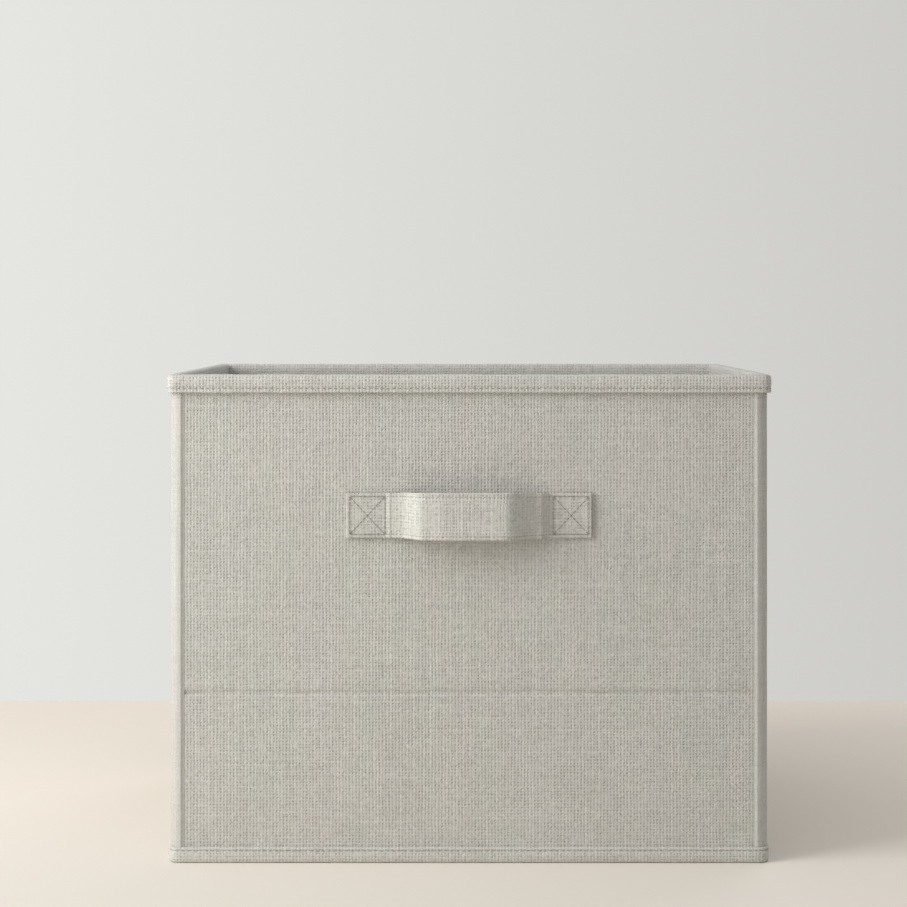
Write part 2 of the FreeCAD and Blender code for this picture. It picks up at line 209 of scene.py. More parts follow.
def wovenCloth(name, tone=1.0, straying=1.0, fineness=1.0, contrast=0.5):
    look = linen
    material, tree, shader = newMaterial(name, 0.92, 0.12)
    coordinates = tree.nodes.new("ShaderNodeTexCoord")
    split = tree.nodes.new("ShaderNodeSeparateXYZ")
    tree.links.new(coordinates.outputs["UV"], split.inputs[0])
    inPlace = coordinates.outputs["Object"]
    shifted = tree.nodes.new("ShaderNodeMapping")
    shifted.inputs["Location"].default_value = (3.1, 5.7, 1.9)
    tree.links.new(inPlace, shifted.inputs[0])

    def threads(socket, pitch, source):
        # counted in threads, each one wandering and sitting unevenly
        count = calc(tree, "DIVIDE", socket, pitch / fineness)
        wander = calc(tree, "SUBTRACT", cloud(tree, source, 55, 3), 0.5)
        uneven = calc(tree, "SUBTRACT", cloud(tree, source, 310 * fineness, 1), 0.5)
        count = calc(tree, "ADD", count, calc(tree, "MULTIPLY", wander, look["wander"] * straying))
        return calc(tree, "ADD", count, calc(tree, "MULTIPLY", uneven, look["jitter"] * straying))

    u = threads(split.outputs[0], look["warpPitch"], inPlace)
    v = threads(split.outputs[1], look["weftPitch"], shifted.outputs[0])
    warpNumber, weftNumber = calc(tree, "FLOOR", u), calc(tree, "FLOOR", v)
    # slubs: each thread swells and thins along its own length
    warpSlub = cloud(tree, combine(tree, calc(tree, "MULTIPLY", warpNumber, 0.73),
                                   calc(tree, "MULTIPLY", v, 0.03), 4.0), 1.0, 1)
    weftSlub = cloud(tree, combine(tree, calc(tree, "MULTIPLY", u, 0.03),
                                   calc(tree, "MULTIPLY", weftNumber, 0.73), 9.0), 1.0, 1)

    def crown(position):
        wave = calc(tree, "SINE", calc(tree, "MULTIPLY", position, math.pi))
        return calc(tree, "POWER", calc(tree, "ABSOLUTE", wave), 0.28)

    def rise(along, number, sign):
        angle = calc(tree, "MULTIPLY", calc(tree, "ADD", calc(tree, "SUBTRACT", along, 0.5), number),
                     math.pi)
        return calc(tree, "ADD", calc(tree, "MULTIPLY", calc(tree, "COSINE", angle), 0.15 * sign), 0.62)

    warpHeight = calc(tree, "MULTIPLY", crown(u), rise(v, warpNumber, 1))
    weftHeight = calc(tree, "MULTIPLY", crown(v), rise(u, weftNumber, -1))
    warpHeight = calc(tree, "MULTIPLY", warpHeight, calc(tree, "ADD", warpSlub, 0.5))
    weftHeight = calc(tree, "MULTIPLY", weftHeight, calc(tree, "ADD", weftSlub, 0.5))
    # a pit where four threads meet, deeper at some crossings than at others, darkened further down with
    # painted shade
    across = calc(tree, "ABSOLUTE", calc(tree, "COSINE", calc(tree, "MULTIPLY", u, math.pi)))
    upward = calc(tree, "ABSOLUTE", calc(tree, "COSINE", calc(tree, "MULTIPLY", v, math.pi)))
    pit = calc(tree, "POWER", calc(tree, "MULTIPLY", across, upward), 2.0)
    chance = tree.nodes.new("ShaderNodeTexWhiteNoise")
    crossing = combine(tree, calc(tree, "ROUND", u), calc(tree, "ROUND", v))
    tree.links.new(crossing, chance.inputs["Vector"])
    pitDepth = calc(tree, "MULTIPLY", pit, calc(tree, "ADD", chance.outputs["Value"], 0.4))
    height = calc(tree, "MAXIMUM", warpHeight, weftHeight)
    height = calc(tree, "ADD", calc(tree, "MULTIPLY", height, 0.5), 0.42)
    height = calc(tree, "SUBTRACT", height, calc(tree, "MULTIPLY", pitDepth, look["pitShare"]))
    warpOnTop = calc(tree, "GREATER_THAN", warpHeight, weftHeight)
    # colour: thread by thread, then broad warm and cool drifts, then painted shade in the gaps between
    # threads
    warpTone = ramp(tree, warpSlub, ((0.30, look["deep"]), (0.68, look["pale"])))
    weftTone = ramp(tree, weftSlub, ((0.30, look["deep"]), (0.68, look["pale"])))
    yarn = blendColours(tree, "MIX", warpOnTop, weftTone, warpTone)
    upright = tree.nodes.new("ShaderNodeMapping")
    upright.inputs["Scale"].default_value = (1, 1, 0.4)
    tree.links.new(inPlace, upright.inputs[0])
    drift = ramp(tree, cloud(tree, upright.outputs[0], 30, 1.5, 0.5),
                 ((0.36, look["warm"]), (0.5, look["middle"]), (0.64, look["cool"])))
    fleck = tree.nodes.new("ShaderNodeTexWhiteNoise")
    tree.links.new(combine(tree, warpNumber, weftNumber, 7.0), fleck.inputs["Vector"])
    flecked = ramp(tree, fleck.outputs["Value"], ((0.0, (0.95,) * 3), (1.0, (1.05,) * 3)))
    mixed = blendColours(tree, "MIX", look["plainShare"], yarn, drift)
    mixed = blendColours(tree, "MULTIPLY", 1.0, mixed, flecked)
    facing = ramp(tree, warpOnTop, ((0.0, (0.985,) * 3), (1.0, (1.015,) * 3)))
    mixed = blendColours(tree, "MULTIPLY", 1.0, mixed, facing)
    # painted shade: the cloth darkened where it lies low, in the pits and between threads
    depth = ramp(tree, height, ((0.05, look["paintedPitShade"]), (0.6, (1, 1, 1))))
    woven = blendColours(tree, "MULTIPLY", contrast, mixed, depth)
    toned = blendColours(tree, "MULTIPLY", 1.0, woven, (tone, tone, tone, 1))
    tree.links.new(toned, shader.inputs["Base Color"])
    fuzz = cloud(tree, inPlace, 2600, 2)
    relief = calc(tree, "ADD", height, calc(tree, "MULTIPLY", fuzz, 0.22))
    bumpFrom(tree, shader, relief, look["threadHeight"] / fineness)
    return material


lining = {"dotPitch": 2.2 * mm, "dotDepth": 0.12 * mm,
          "base": (0.575, 0.575, 0.56), "deep": (0.50, 0.50, 0.485)}


def nonWoven(name, tone=1.0):
    # pressed fibre cloth with a lattice of welded points
    material, tree, shader = newMaterial(name, 0.85, 0.05)
    coordinates = tree.nodes.new("ShaderNodeTexCoord")
    split = tree.nodes.new("ShaderNodeSeparateXYZ")
    tree.links.new(coordinates.outputs["UV"], split.inputs[0])
    inPlace = coordinates.outputs["Object"]
    u = calc(tree, "DIVIDE", split.outputs[0], lining["dotPitch"])
    v = calc(tree, "DIVIDE", split.outputs[1], lining["dotPitch"])
    diagonal = calc(tree, "SINE", calc(tree, "MULTIPLY", calc(tree, "ADD", u, v), math.pi))
    counter = calc(tree, "SINE", calc(tree, "MULTIPLY", calc(tree, "SUBTRACT", u, v), math.pi))
    lattice = calc(tree, "ABSOLUTE", calc(tree, "MULTIPLY", diagonal, counter))
    dots = calc(tree, "SUBTRACT", 1.0, calc(tree, "POWER", lattice, 3.0))
    fibres = cloud(tree, inPlace, 900, 5, 0.7)
    felt = ramp(tree, fibres, ((0.3, lining["deep"]), (0.7, lining["base"])))
    blotch = ramp(tree, cloud(tree, inPlace, 24, 3), ((0.3, (0.93,) * 3), (0.7, (1.0,) * 3)))
    colour = blendColours(tree, "MULTIPLY", 1.0, felt, blotch)
    pressed = ramp(tree, dots, ((0.0, (0.86,) * 3), (0.5, (1.0,) * 3)))
    colour = blendColours(tree, "MULTIPLY", 1.0, colour, pressed)
    colour = blendColours(tree, "MULTIPLY", 1.0, colour, (tone, tone, tone, 1))
    tree.links.new(colour, shader.inputs["Base Color"])
    relief = calc(tree, "ADD", dots, calc(tree, "MULTIPLY", fibres, 0.5))
    bumpFrom(tree, shader, relief, lining["dotDepth"])
    return material


def boardStock(name):
    # grey pulp board with flecks
    material, tree, shader = newMaterial(name, 0.8, 0.0)
    coordinates = tree.nodes.new("ShaderNodeTexCoord")
    pulp = cloud(tree, coordinates.outputs["Object"], 1400, 6, 0.75)
    colour = ramp(tree, pulp, ((0.35, (0.25, 0.23, 0.20)), (0.5, (0.40, 0.375, 0.335)),
                               (0.7, (0.50, 0.47, 0.42))))
    tree.links.new(colour, shader.inputs["Base Color"])
    bumpFrom(tree, shader, pulp, 0.08 * mm)
    return material


def sewingThread(name, colour):
    material, tree, shader = newMaterial(name, 0.6, 0.1)
    coordinates = tree.nodes.new("ShaderNodeTexCoord")
    ply = cloud(tree, coordinates.outputs["Object"], 2200, 2)
    dark = tuple(0.72 * c for c in colour)
    tree.links.new(ramp(tree, ply, ((0.35, dark), (0.65, colour))), shader.inputs["Base Color"])
    bumpFrom(tree, shader, ply, 0.08 * mm)
    return material


panelCloth = wovenCloth("linen panel")
bindingCloth = wovenCloth("linen tape", 1.04)
strapCloth = wovenCloth("linen strap", 1.05, 0.7)
edgeCloth = wovenCloth("corner tape", 0.98, 0.6, 2.2, 0.3)
liningCloth = nonWoven("lining")
insertCloth = nonWoven("insert cover", 1.05)
greyBoard = boardStock("greyboard")
# seam and strap threads darker than the cloth: partly their own colour, partly painted shade of the sunk
# stitch lines
seamThread = sewingThread("seam thread", (0.36, 0.345, 0.315))
strapThread = sewingThread("strap thread", (0.29, 0.28, 0.25))
print("materials ready")


wallLook = {
    "columns": 100, "rows": 260,
    "liningColumns": 60, "liningRows": 50,
    "fullness": 0.35 * mm,       # cloth stands this far off its board's plane
    "swell": 0.35 * mm,          # broad unevenness of cloth over board
    "swellSize": 55 * mm,
    "pucker": 0.28 * mm,         # drawn in along the seams
    "puckerLength": 13 * mm,
    "puckerReach": 11 * mm,
    "seamMargin": 10 * mm,       # the puckers start this far in from the cloth's ends
    "flatEdge": 14 * mm,         # the swell dies away over this margin
    "liningShare": 0.6,          # the lining is smoother than the cloth
    "clothShare": 0.9,           # its thickness, as a share of the CAD layer's
    "creaseHeight": 108 * mm,    # pressed line where the wall was folded in its packing
    "creaseDepth": 1.1 * mm,
    "creaseWidth": 1.1 * mm,
}


def wallSheet(side, node, material, facing, crease):
    # facing 1 shows its outer side, -1 its inner side
    look = wallLook
    low, high = (Vector(v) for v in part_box(node))
    outward, along = walls[side]
    middle = (low + high) / 2
    width = abs((high - low).dot(along))
    height = high.z - low.z
    thick = abs((high - low).dot(outward))
    bm = bmesh.new()
    columns, rows = look["columns"], look["rows"]
    if facing < 0:
        columns, rows = look["liningColumns"], look["liningRows"]
    bmesh.ops.create_grid(bm, x_segments=columns, y_segments=rows, size=0.5)
    bmesh.ops.scale(bm, verts=bm.verts, vec=(width, height, 1))
    seed = 10 * list(walls).index(side) + (5 if facing > 0 else 0)
    for vert in bm.verts:
        s, h = vert.co.x, vert.co.y
        edge = min(width / 2 - abs(s), height / 2 - abs(h))
        ease = smoothStep(0, look["flatEdge"], edge)
        spot = Vector((s / look["swellSize"], h / look["swellSize"], seed))
        bulge = noise.noise(spot) * look["swell"] + noise.noise(spot * 3.1) * look["swell"] * 0.35
        fromSeam = height / 2 - abs(h) - look["seamMargin"]
        fade = math.exp(-max(fromSeam, 0) / look["puckerReach"])
        ripple = noise.noise(Vector((s / look["puckerLength"], h / (40 * mm), seed + 3)))
        vert.co.z = ease * bulge + fade * ripple * look["pucker"] * smoothStep(0, 6 * mm, edge)
        vert.co.z += look["fullness"] * smoothStep(0, 2 * mm, edge)
        if crease:
            off = (h + middle.z - look["creaseHeight"]) / look["creaseWidth"]
            vert.co.z -= look["creaseDepth"] * math.exp(-off * off)
    if facing < 0:
        for vert in bm.verts:
            vert.co.z = -vert.co.z * look["liningShare"]
    bmesh.ops.solidify(bm, geom=bm.faces[:], thickness=thick * look["clothShare"])
    bmesh.ops.recalc_face_normals(bm, faces=bm.faces[:])
    boxUv(bm)
    bmesh.ops.transform(bm, matrix=Matrix.Translation(middle) @ wallMatrix(side), verts=bm.verts)
    piece = toPiece(f"{side}_{'panel' if facing > 0 else 'lining'}_cloth", bm, material)
    return piece, (width, height)


for side in walls:
    piece, flat = wallSheet(side, f"{side}_outer_cloth", panelCloth, 1, side in ("front", "rear"))
    place(piece, shell, [f"{side}_outer_cloth"])
    piece, flat = wallSheet(side, f"{side}_lining", liningCloth, -1, False)
    place(piece, shell, [f"{side}_lining"])
    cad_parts[f"{side}_board"].material_slots[0].material = greyBoard
print("walls ready")


def restate(value, half, radius, newHalf, newRadius):
    # the same spot on a larger or smaller rounded outline, one axis at a time
    straight, newStraight = half - radius, newHalf - newRadius
    beyond = abs(value) - straight
    moved = newStraight + beyond * newRadius / radius if beyond > 0 else abs(value) * newStraight / straight
    return math.copysign(moved, value)


tightest = 0.8 * mm              # smallest radius that a tape turns a corner with


def ringOf(profile, cornerRadius, cornerSteps=8, cuts=90):
    # profile: closed list of (distance out from the wall face, height)
    bm = bmesh.new()
    out, z = profile[0]
    radius = max(cornerRadius + out, tightest)
    bmesh.ops.create_grid(bm, x_segments=1, y_segments=1, size=1)
    for vert in bm.verts:
        vert.co = (math.copysign(halfX + out, vert.co.x), math.copysign(halfY + out, vert.co.y), z)
    bmesh.ops.bevel(bm, geom=bm.verts[:], offset=radius, offset_type="OFFSET", affect="VERTICES",
                    segments=cornerSteps, profile=0.5, material=-1)
    bmesh.ops.delete(bm, geom=bm.faces[:], context="FACES_ONLY")
    straight = [e for e in bm.edges if e.calc_length() > halfY]
    bmesh.ops.subdivide_edges(bm, edges=straight, cuts=cuts)
    loop = bm.edges[:]
    for newOut, newZ in profile[1:] + profile[:1]:
        newRadius = max(cornerRadius + newOut, tightest)
        raised = bmesh.ops.extrude_edge_only(bm, edges=loop)["geom"]
        loop = [g for g in raised if isinstance(g, bmesh.types.BMEdge)]
        for vert in (g for g in raised if isinstance(g, bmesh.types.BMVert)):
            vert.co.x = restate(vert.co.x, halfX + out, radius, halfX + newOut, newRadius)
            vert.co.y = restate(vert.co.y, halfY + out, radius, halfY + newOut, newRadius)
            vert.co.z = newZ
        out, radius = newOut, newRadius
    bmesh.ops.remove_doubles(bm, verts=bm.verts[:], dist=0.01 * mm)
    bmesh.ops.recalc_face_normals(bm, faces=bm.faces[:])
    return bm


def ringStations(reachX, reachY, radius, pitch):
    # points, directions and outward ways at even steps round a rounded rectangle
    stations = []
    corners = ((1, -1, -90), (1, 1, 0), (-1, 1, 90), (-1, -1, 180))
    sides = ((1, 0, 2 * (reachX - radius)), (0, 1, 2 * (reachY - radius)),
             (-1, 0, 2 * (reachX - radius)), (0, -1, 2 * (reachY - radius)))
    for (sx, sy, start), (dx, dy, length) in zip(corners, sides):
        direction = Vector((dx, dy, 0))
        outward = Vector((dy, -dx, 0))
        centre = Vector((sx * (reachX - radius), sy * (reachY - radius), 0))
        first = centre + outward * radius - direction * length
        count = round(length / pitch)
        for i in range(count):
            stations.append((first + direction * (i + 0.5) * length / count, direction, outward))
        turns = max(1, round(radius * math.pi / 2 / pitch))
        for i in range(turns):
            angle = math.radians(start + 90 * (i + 0.5) / turns)
            out = Vector((math.cos(angle), math.sin(angle), 0))
            stations.append((centre + out * radius, Vector((-out.y, out.x, 0)), out))
    return stations


def stitchBead():
    # one short length of thread, a unit long and thick
    bm = bmesh.new()
    bmesh.ops.create_uvsphere(bm, u_segments=6, v_segments=5, radius=0.5,
                              matrix=Matrix.Rotation(math.pi / 2, 4, "Y"))
    bead = bpy.data.meshes.new("bead")
    bm.to_mesh(bead)
    bm.free()
    return bead


bead = stitchBead()


def addStitch(bm, centre, direction, outward, length, thick):
    across = outward.cross(direction)
    turn = Matrix((direction, across, outward)).transposed().to_4x4()
    stitch = bead.copy()
    stitch.transform(Matrix.Translation(centre) @ turn @ Matrix.Diagonal((length, thick, thick, 1)))
    bm.from_mesh(stitch)
    bpy.data.meshes.remove(stitch)


def ringStitches(name, z, out, tape):
    bm = bmesh.new()
    chance = random.Random(len(name))
    inside = -1 if out < -1 * mm else 1
    stitch = tape["stitch"]
    stations = ringStations(halfX + out, halfY + out, max(tape["cornerRadius"] + out, mm), stitch["pitch"])
    for point, direction, outward in stations:
        tilt = chance.uniform(-0.05, 0.05)
        centre = point + zAxis * (z + chance.uniform(-0.12, 0.12) * mm)
        direction = (direction + zAxis * tilt).normalized()
        addStitch(bm, centre, direction, outward * inside, stitch["length"], stitch["thick"])
    piece = toPiece(name, bm, seamThread, 80)
    return place(piece, shell)


def ripple(bm, size, depth, seed):
    # small unevenness of a sewn tape, along each point's own normal
    bm.normal_update()
    moves = [vert.normal * depth * noise.noise(vert.co / size + Vector((seed, 0, 0))) for vert in bm.verts]
    for vert, move in zip(bm.verts, moves):
        vert.co += move


rimTape = {
    "cornerRadius": 3.8 * mm,
    "over": 9.2 * mm,            # how much of its width lies across the top of the wall
    "stitchRise": 3.0 * mm,      # stitch line above the tape's lower edge
    "groove": 0.45 * mm,
    "unevenness": 0.22 * mm, "unevenSize": 26 * mm,
    "outerLeg": 2.2 * mm,        # both faces of the tape, from the wall's face
    "innerLeg": -7.0 * mm,
    "threadSunk": 0.25 * mm,
    "stitch": {"pitch": 3.7 * mm, "length": 2.5 * mm, "thick": 0.6 * mm},
}


def rimProfile():
    foot, top = rimLow.z, rimHigh.z
    out, inner = rimTape["outerLeg"], rimTape["innerLeg"]
    cloth, liner = -0.8 * mm, -5.8 * mm      # both faces of the wall inside it
    stitch, dip = foot + rimTape["stitchRise"], rimTape["groove"]
    channel = top - 1.6 * mm
    return [
        (cloth, foot), (out - 0.8 * mm, foot), (out - 0.15 * mm, foot + 0.35 * mm),
        (out, foot + 1.0 * mm), (out - 0.05 * mm, stitch - 0.9 * mm), (out - dip, stitch),
        (out - 0.05 * mm, stitch + 0.9 * mm), (out + 0.1 * mm, stitch + 2.4 * mm),
        (out + 0.1 * mm, top - 4.0 * mm), (out - 0.1 * mm, top - 2.2 * mm),
        (out - 0.6 * mm, top - 1.0 * mm), (out - 1.6 * mm, top - 0.25 * mm), (out - 2.8 * mm, top),
        (-2.4 * mm, top + 0.05 * mm), (inner + 2.8 * mm, top), (inner + 1.4 * mm, top - 0.3 * mm),
        (inner + 0.5 * mm, top - 1.0 * mm), (inner, top - 2.4 * mm), (inner, stitch + 1.0 * mm),
        (inner + dip, stitch), (inner, stitch - 1.0 * mm), (inner, foot + 0.8 * mm),
        (inner + 0.5 * mm, foot), (liner, foot), (liner, channel), (cloth, channel),
    ]


bm = ringOf(rimProfile(), rimTape["cornerRadius"])
ripple(bm, rimTape["unevenSize"], rimTape["unevenness"], 2.0)
boxUv(bm)
rim = place(toPiece("rim_tape", bm, bindingCloth, 70), shell, ["rim_binding"])
rimStitchZ = rimLow.z + rimTape["stitchRise"]
ringStitches("rim_stitching_outside", rimStitchZ, rimTape["outerLeg"] - rimTape["threadSunk"], rimTape)
ringStitches("rim_stitching_inside", rimStitchZ, rimTape["innerLeg"] + rimTape["threadSunk"], rimTape)

baseTape = {
    "cornerRadius": 6.4 * mm,
    "under": 10.0 * mm,          # how much of its width is turned in under the wall
    "stitchDrop": 2.1 * mm,      # stitch line below the tape's upper edge
    "groove": 0.4 * mm,
    "unevenness": 0.18 * mm, "unevenSize": 30 * mm,
    "outerLeg": 0.9 * mm,
    "threadSunk": 0.25 * mm,
    "stitch": {"pitch": 3.7 * mm, "length": 2.7 * mm, "thick": 0.55 * mm},
}


def baseProfile():
    top, out, cloth = baseHigh.z, baseTape["outerLeg"], -0.8 * mm
    stitch, dip = top - baseTape["stitchDrop"], baseTape["groove"]
    under, legEnd = 1.2 * mm, -9.1 * mm
    return [
        (cloth, top), (out - 0.6 * mm, top), (out - 0.1 * mm, top - 0.35 * mm),
        (out, stitch + 0.8 * mm), (out - dip, stitch), (out, stitch - 0.8 * mm),
        (out + 0.15 * mm, 4.6 * mm), (out, 1.9 * mm), (out - 0.4 * mm, 0.7 * mm),
        (out - 1.3 * mm, 0.1 * mm), (out - 3.0 * mm, 0.0), (legEnd, 0.0), (legEnd, under),
        (cloth, under),
    ]


bm = ringOf(baseProfile(), baseTape["cornerRadius"])
ripple(bm, baseTape["unevenSize"], baseTape["unevenness"], 7.0)
for vert in bm.verts:
    vert.co.z = max(vert.co.z, 0)
boxUv(bm)
base = place(toPiece("base_tape", bm, bindingCloth, 70), shell, ["base_binding"])
ringStitches("base_stitching", baseHigh.z - baseTape["stitchDrop"],
             baseTape["outerLeg"] - baseTape["threadSunk"], baseTape)
print("rim and base tapes ready")


cornerTape = {
    "leg": 6.9 * mm,             # how far it reaches along each wall, before its taper
    "radius": 6.9 * mm,
    "taper": 2.4 * mm,           # pressed thin where it is sewn down
    "edgeSlope": ((1.0, 1.6 * mm), (1.0, 1.02 * mm), (0.7, 0.92 * mm), (0.35, 0.6 * mm)),
    "tuck": 0.1 * mm,            # drawn in a little before it tapers
    "drawn": 0.45,               # 0 turns round the corner evenly, 1 is drawn flat across it
    "seamDepth": 0.4 * mm,       # sunken seam down the middle
    "seamWidth": 7,              # degrees of the turn
    "fold": 0.35 * mm,           # the two folds beside the seam stand up a little
    "steps": 26,
    "levels": 80,
    "unevenness": 0.14 * mm, "unevenSize": 22 * mm,
}


def cornerSection():
    # the outer corner is the origin and the legs run towards -X and -Y
    look = cornerTape
    leg, radius = look["leg"], look["radius"]
    edge = [(-leg - share * look["taper"], -depth) for share, depth in look["edgeSlope"]]
    arc = []
    for i in range(look["steps"] + 1):
        angle = math.pi / 2 * (1 - i / look["steps"])
        fromSeam = (math.degrees(angle) - 45) / look["seamWidth"]
        chord = 1 / (math.cos(angle) + math.sin(angle))
        reach = radius * (1 - look["drawn"] + look["drawn"] * chord)
        reach += look["fold"] * math.sin(2 * angle)
        reach -= look["seamDepth"] * math.exp(-fromSeam * fromSeam)
        reach -= look["tuck"] * smoothStep(25, 45, abs(math.degrees(angle) - 45))
        arc.append((-radius + reach * math.cos(angle), -radius + reach * math.sin(angle)))
    back = [(-4.7 * mm, -leg + 0.1 * mm), (-4.5 * mm, -4.5 * mm), (-leg + 0.1 * mm, -4.7 * mm)]
    return edge + arc + [(y, x) for x, y in reversed(edge)] + back


def cornerPiece(label, signX, signY, turn, seed):
    low, high = (Vector(v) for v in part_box(f"corner_binding_{label}"))
    bm = bmesh.new()
    section = bm.faces.new([bm.verts.new((x, y, 0)) for x, y in cornerSection()])
    raised = bmesh.ops.extrude_face_region(bm, geom=[section])["geom"]
    bmesh.ops.translate(bm, verts=[g for g in raised if isinstance(g, bmesh.types.BMVert)],
                        vec=(0, 0, high.z - low.z))
    upright = [e for e in bm.edges if abs(e.verts[0].co.z - e.verts[1].co.z) > 1 * mm]
    bmesh.ops.subdivide_edges(bm, edges=upright, cuts=cornerTape["levels"])
    bmesh.ops.recalc_face_normals(bm, faces=bm.faces[:])
    ripple(bm, cornerTape["unevenSize"], cornerTape["unevenness"], seed)
    boxUv(bm)
    corner = Vector((signX * halfX, signY * halfY, low.z))
    move = Matrix.Translation(corner) @ Matrix.Rotation(math.radians(turn), 4, "Z")
    bmesh.ops.transform(bm, matrix=move, verts=bm.verts)
    piece = toPiece(f"corner_tape_{label}", bm, edgeCloth, 60)
    place(piece, shell, [f"corner_binding_{label}"])


for label, signX, signY, turn in (("rear_right", 1, 1, 0), ("rear_left", -1, 1, 90),
                                  ("front_left", -1, -1, 180), ("front_right", 1, -1, 270)):
    cornerPiece(label, signX, signY, turn, 20.0 + turn / 10)
print("corner tapes ready")


bottomLook = {"cloth": 0.6 * mm, "sag": 0.3 * mm, "sagSize": 60 * mm}


def bottomPiece():
    low, high = (Vector(v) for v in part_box("bottom_cloth"))
    bm = bmesh.new()
    bmesh.ops.create_grid(bm, x_segments=60, y_segments=48, size=0.5)
    bmesh.ops.scale(bm, verts=bm.verts, vec=(high.x - low.x, high.y - low.y, 1))
    for vert in bm.verts:
        spot = Vector((vert.co.x / bottomLook["sagSize"], vert.co.y / bottomLook["sagSize"], 31))
        vert.co.z = high.z - 0.05 * mm - abs(noise.noise(spot)) * bottomLook["sag"]
    bmesh.ops.solidify(bm, geom=bm.faces[:], thickness=bottomLook["cloth"])
    bmesh.ops.recalc_face_normals(bm, faces=bm.faces[:])
    for vert in bm.verts:
        vert.co.z = min(max(vert.co.z, 0), high.z)
    boxUv(bm)
    piece = place(toPiece("bottom_sheet", bm, liningCloth), shell, ["bottom_cloth"])


insertLook = {"edgeRound": 1.4 * mm, "turnUnder": 15 * mm, "cloth": 0.75 * mm,
              "swell": 0.35 * mm, "swellSize": 70 * mm}


def insertPiece():
    # cloth over the board, round its edges and glued down in a margin under it
    low, high = (Vector(v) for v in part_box("base_board_cover"))
    size = high - low
    bm = bmesh.new()
    bmesh.ops.create_cube(bm, size=1)
    bmesh.ops.scale(bm, verts=bm.verts, vec=size)
    bmesh.ops.bevel(bm, geom=bm.edges[:], offset=insertLook["edgeRound"], affect="EDGES",
                    segments=3, profile=0.5, material=-1)
    under = min(bm.faces, key=lambda f: f.calc_center_median().z)
    bmesh.ops.inset_region(bm, faces=[under], thickness=insertLook["turnUnder"] - insertLook["edgeRound"])
    bmesh.ops.delete(bm, geom=[under], context="FACES")
    long = [e for e in bm.edges if e.calc_length() > size.y / 2]
    bmesh.ops.subdivide_edges(bm, edges=long, cuts=50, use_grid_fill=True)
    bmesh.ops.recalc_face_normals(bm, faces=bm.faces[:])
    for vert in bm.verts:
        edge = min(size.x / 2 - abs(vert.co.x), size.y / 2 - abs(vert.co.y))
        spot = Vector((vert.co.x, vert.co.y, 0)) / insertLook["swellSize"] + Vector((0, 0, 17))
        if vert.co.z > 0:
            vert.co.z += noise.noise(spot) * insertLook["swell"] * smoothStep(0, 20 * mm, edge)
    bmesh.ops.solidify(bm, geom=bm.faces[:], thickness=insertLook["cloth"])
    bmesh.ops.recalc_face_normals(bm, faces=bm.faces[:])
    boxUv(bm)
    bmesh.ops.translate(bm, verts=bm.verts, vec=(low + high) / 2)
    wrap = place(toPiece("base_board_wrap", bm, insertCloth, 60), insertBody,
                 ["base_board_cover"])
    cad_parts["base_board"].material_slots[0].material = greyBoard


bottomPiece()
insertPiece()
print("bottom and base board ready")


strapLook = {
    "lengthSteps": 220, "widthSteps": 14,
    "thick": 2.4 * mm,           # two layers of cloth
    "edgeRound": 0.7 * mm,
    "bendFrom": 3.6 * mm,        # it bends between these distances from the wall
    "bendTo": 17.0 * mm,
    "freeHalf": 53 * mm,         # half of the length that isn't sewn down
    "threadSunk": 0.22 * mm,
    "spread": 1.3 * mm,          # its upper edge is drawn up a little along the free span
    "lean": 1.2 * mm,            # and its lower edge stands further out
    "edgeStitchIn": 2.4 * mm,
    "sewnFrom": 52 * mm,         # beyond this the strap is sewn down
    "grooveDepth": 0.3 * mm,
    "stitch": {"pitch": 2.9 * mm, "length": 2.2 * mm, "thick": 0.42 * mm},
    "box": {"width": 22.4 * mm, "height": 24.0 * mm, "margin": 2.1 * mm},
}

# place along the strap and how far its face stands out from the wall, in mm, left to right:
# it kinks off the patch, climbs, folds over sharply and then runs nearly flat
strapStations = (
    (-53.2, 2.4), (-52.0, 2.5), (-51.2, 3.2), (-50.2, 3.4), (-49.2, 3.2), (-46.5, 3.6), (-42.0, 4.8),
    (-39.4, 6.6), (-36.6, 10.4), (-33.8, 14.4), (-31.4, 17.0), (-28.6, 18.2), (-25.6, 18.5),
    (-22.0, 19.1), (-17.0, 19.8), (-8.0, 20.0), (8.0, 20.0), (19.0, 20.0), (23.5, 19.8), (27.0, 18.7),
    (30.4, 16.6), (34.0, 13.9), (38.0, 11.0), (42.6, 8.5), (44.8, 8.1), (46.2, 7.5), (48.8, 4.8),
    (51.0, 2.9), (53.2, 2.4),
)


def strapOut(x):
    # smooth cubic through the stations
    xs = [p[0] * mm for p in strapStations]
    ys = [p[1] * mm for p in strapStations]
    if x <= xs[0] or x >= xs[-1]:
        return ys[0]
    i = max(k for k in range(len(xs) - 1) if xs[k] <= x)

    def slope(k):
        if k in (0, len(xs) - 1):
            return 0.0
        return (ys[k + 1] - ys[k - 1]) / (xs[k + 1] - xs[k - 1])

    span = xs[i + 1] - xs[i]
    t = (x - xs[i]) / span
    return ((2 * t ** 3 - 3 * t ** 2 + 1) * ys[i] + (t ** 3 - 2 * t ** 2 + t) * span * slope(i)
            + (3 * t ** 2 - 2 * t ** 3) * ys[i + 1] + (t ** 3 - t ** 2) * span * slope(i + 1))


def strapPath(halfLength, steps):
    # even steps of the strap's own length, as (x, out, length so far)
    pieces = 4000
    fine = [-halfLength + 2 * halfLength * i / pieces for i in range(pieces + 1)]
    points = [(x, strapOut(x)) for x in fine]
    lengths = [0.0]
    for (x0, y0), (x1, y1) in zip(points, points[1:]):
        lengths.append(lengths[-1] + math.hypot(x1 - x0, y1 - y0))
    path, k = [], 0
    for i in range(steps + 1):
        target = lengths[-1] * i / steps
        while k < len(lengths) - 2 and lengths[k + 1] < target:
            k += 1
        path.append((points[k][0], points[k][1], target))
    return path


